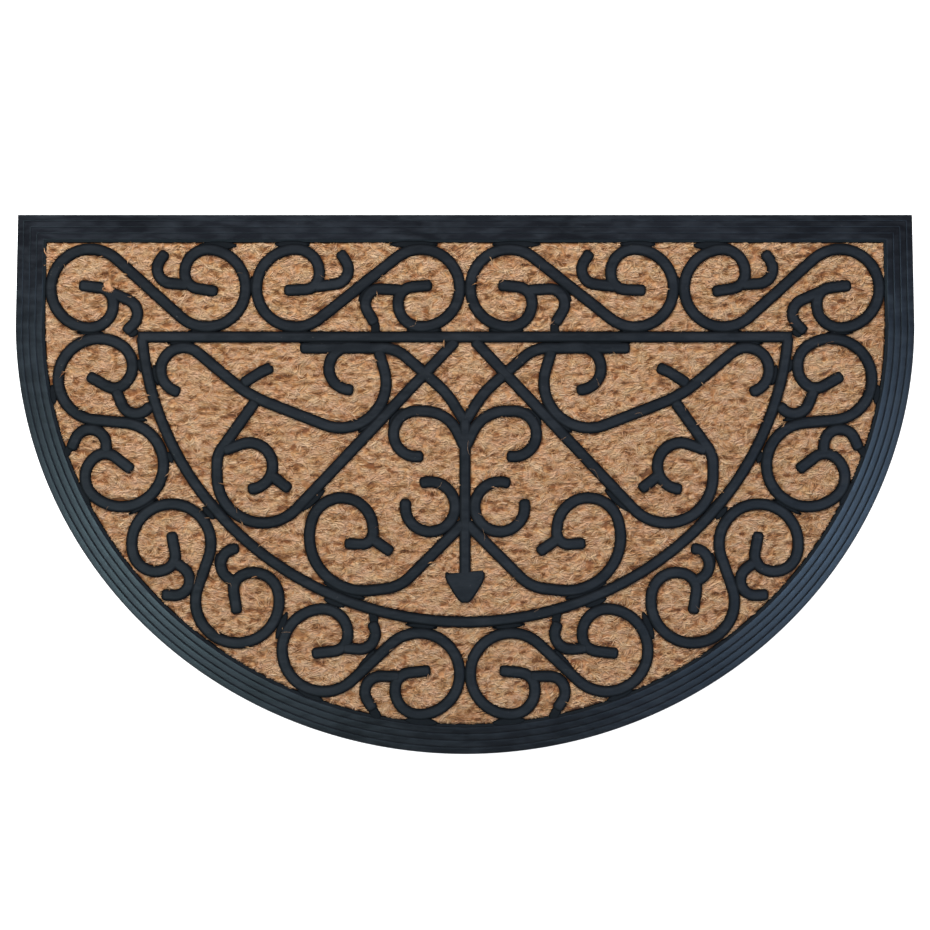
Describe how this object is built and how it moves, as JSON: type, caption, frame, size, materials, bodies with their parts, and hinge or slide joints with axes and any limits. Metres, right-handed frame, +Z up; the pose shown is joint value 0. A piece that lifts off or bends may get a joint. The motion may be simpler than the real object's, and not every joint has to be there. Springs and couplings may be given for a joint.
{
  "type": "half-round doormat",
  "caption": "Half-round rubber doormat with a stepped ridged rim and raised scrollwork over a panel of woven coir.",
  "frame": {"origin": "middle of the underside's bounding rectangle, on the floor", "axes": "+X along the straight edge, +Y from the bow towards the straight edge, +Z up"},
  "size_m": [0.75, 0.45, 0.01],
  "materials": {
    "rubber": "satin moulded",
    "coir": "coarse natural fibre"
  },
  "bodies": {
    "root": {"rubber_mat": "rubber", "coir_matting": "coir"}
  },
  "joints": []
}
